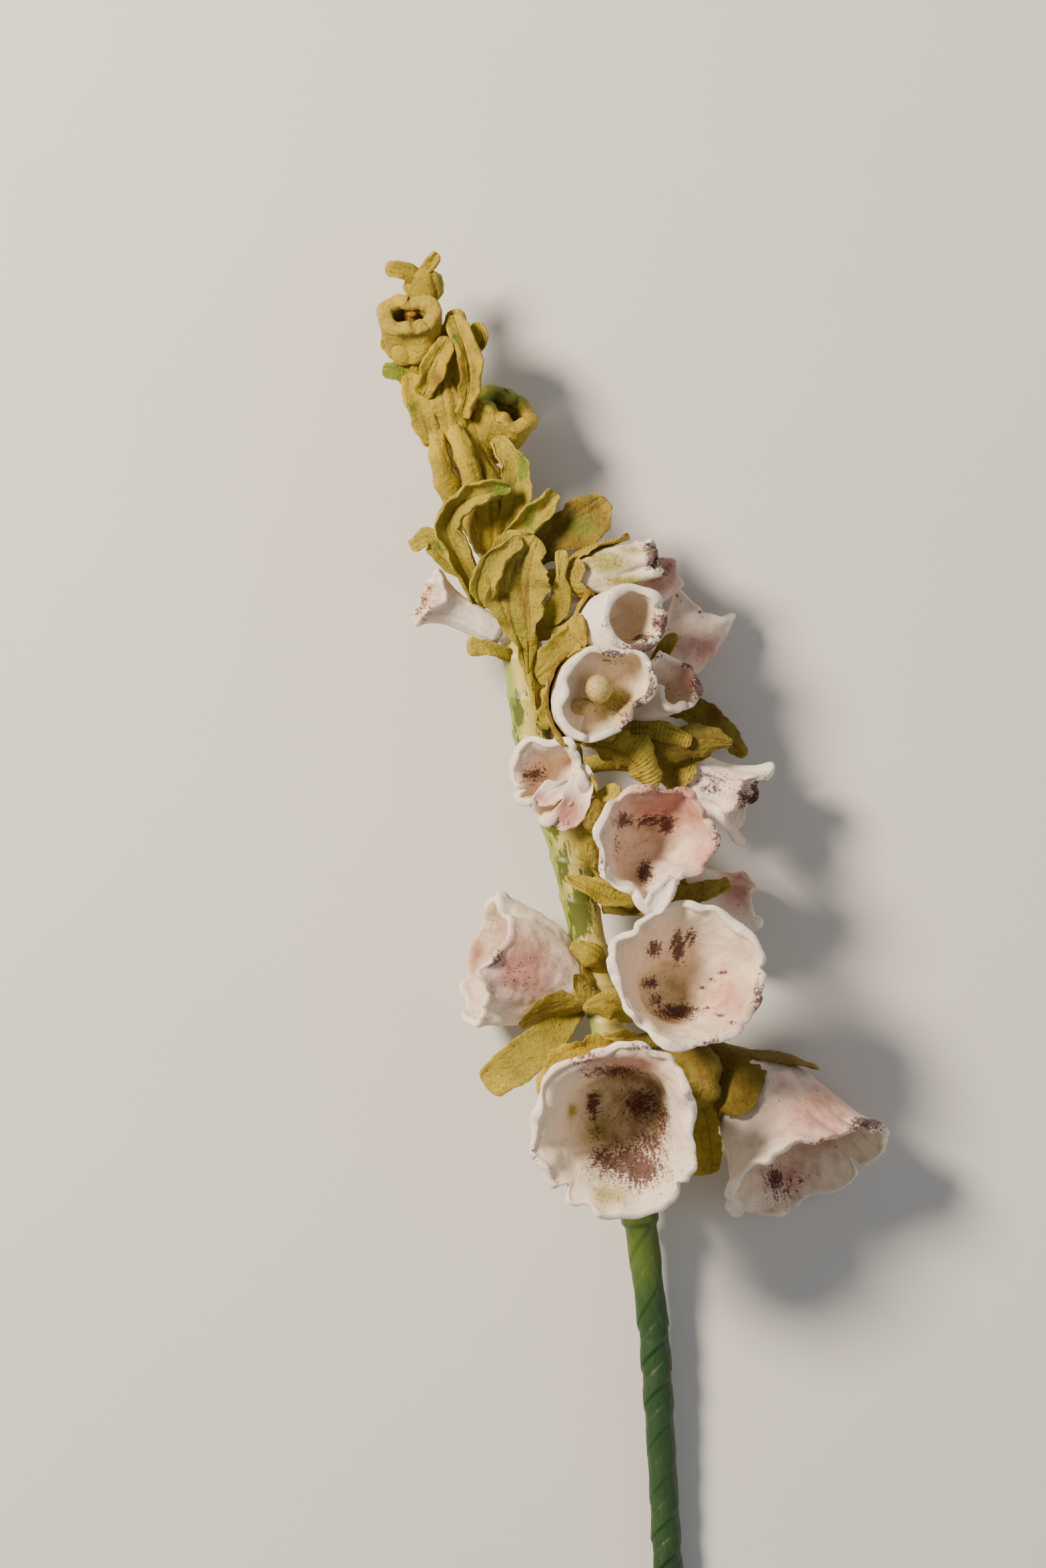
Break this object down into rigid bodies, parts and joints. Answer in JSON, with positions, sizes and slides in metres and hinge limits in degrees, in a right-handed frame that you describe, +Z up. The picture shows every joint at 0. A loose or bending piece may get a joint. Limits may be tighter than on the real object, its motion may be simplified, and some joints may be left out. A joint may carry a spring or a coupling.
{
  "type": "foxglove flower spike",
  "caption": "Cut foxglove spike of handmade white and purple-dusted bell flowers with yellow-green calyces and curled bracts on a taped wire stem, lying on its back.",
  "frame": {"origin": "the middle of the footprint, on the surface that the spike lies on", "axes": "+Y runs along the stem from the cut end to the tip, +Z points up from the surface to the flowers' front, +X is to the right seen from above"},
  "size_m": [0.1067, 0.3081, 0.05],
  "materials": {
    "petal": "matte air-dry paste, dusted",
    "calyx": "matte, ribbed",
    "bract": "matte, ribbed",
    "bud": "satin, grained",
    "pale_stem": "satin, green brush marks",
    "tape": "waxed crepe, wound",
    "wire": "bare"
  },
  "bodies": {
    "root": {"bell_closed": "petal", "bell_cup": "petal", "bell_low_front": "petal", "bell_low_left": "petal", "bell_low_right": "petal", "bell_mid_back": "petal", "bell_mid_front": "petal", "bell_pink_front": "petal", "bell_right": "petal", "bell_small_left": "petal", "bell_top_back": "petal", "bell_top_left": "petal", "bell_upper_back": "petal", "bell_upper_front": "petal", "bell_upper_right": "petal", "bract_back_mid": "bract", "bract_back_olive": "bract", "bract_back_top": "bract", "bract_blade_left": "bract", "bract_club": "bract", "bract_column": "bract", "bract_curled_brown": "bract", "bract_curled_tip": "bract", "bract_fold_under": "bract", "bract_front_leaf": "bract", "bract_hook": "bract", "bract_left_club": "bract", "bract_left_leaf": "bract", "bract_left_lobe": "bract", "bract_mid_left": "bract", "bract_right_above": "bract", "bract_right_back": "bract", "bract_right_curved": "bract", "bract_right_sheet": "bract", "bract_rolled": "bract", "bract_second": "bract", "bract_stem_small": "bract", "bract_strip_left": "bract", "bract_strip_mid": "bract", "bract_yellow_blade": "bract", "bud_cup_right": "bud", "bud_cup_top": "bud", "bud_folded": "bud", "bud_green_lobe": "bud", "bud_side_lobe": "bud", "bud_tip": "bud", "calyx_closed": "calyx", "calyx_cup": "calyx", "calyx_low_front": "calyx", "calyx_low_left": "calyx", "calyx_low_right": "calyx", "calyx_mid_back": "calyx", "calyx_mid_front": "calyx", "calyx_pink_front": "calyx", "calyx_right": "calyx", "calyx_small_left": "calyx", "calyx_upper_front": "calyx", "stem_paste": "pale_stem", "stem_tape": "tape", "stem_wire": "wire"}
  },
  "joints": []
}
